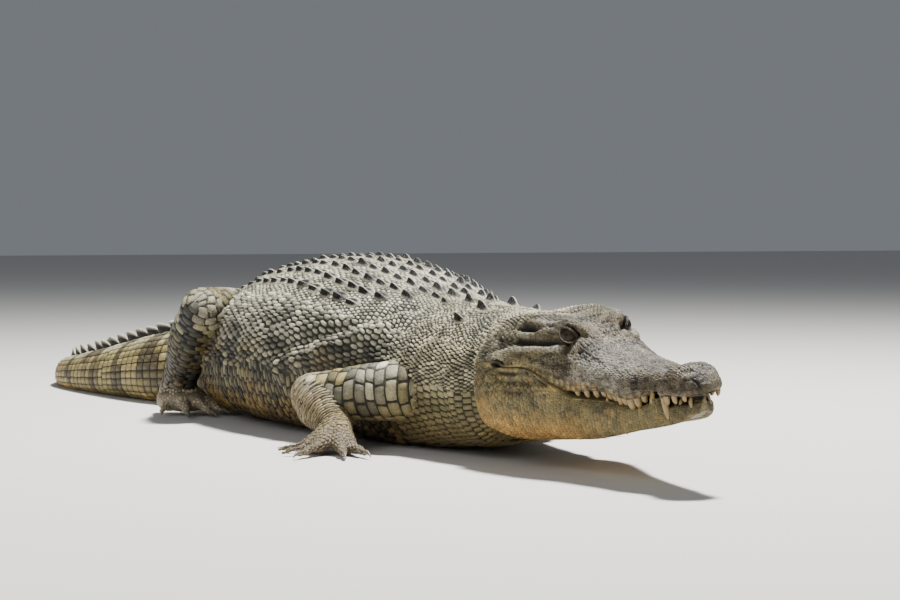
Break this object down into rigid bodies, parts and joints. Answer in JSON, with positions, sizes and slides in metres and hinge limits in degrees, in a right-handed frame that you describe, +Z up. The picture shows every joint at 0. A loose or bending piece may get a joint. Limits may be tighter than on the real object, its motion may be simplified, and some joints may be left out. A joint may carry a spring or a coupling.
{
  "type": "saltwater crocodile",
  "caption": "Life-size still model of a large saltwater crocodile resting on its belly, head raised and turned slightly, tail curved.",
  "frame": {"origin": "on the floor, under the middle of the animal's outer box", "axes": "+X along the trunk towards the head, +Y to the animal's left, +Z up"},
  "size_m": [3.6238, 0.8862, 0.4017],
  "materials": {
    "hide": "scaly olive-grey and tan hide, satin on the ridges",
    "head_hide": "fine rugose grey-brown hide, yellow along the jaw",
    "limb_hide": "banded scaly grey-tan hide",
    "eye": "wet gloss"
  },
  "bodies": {
    "root": {"head": "head_hide", "lower_jaw": "head_hide", "eye_left": "eye", "eye_right": "eye", "neck": "hide", "trunk": "hide", "tail_base": "hide", "tail_middle": "hide", "tail_end": "hide", "right_upper_arm": "limb_hide", "right_forearm": "limb_hide", "right_hand": "limb_hide", "left_upper_arm": "limb_hide", "left_forearm": "limb_hide", "left_hand": "limb_hide", "right_thigh": "limb_hide", "right_shank": "limb_hide", "right_foot": "limb_hide", "left_thigh": "limb_hide", "left_shank": "limb_hide", "left_foot": "limb_hide"}
  },
  "joints": []
}
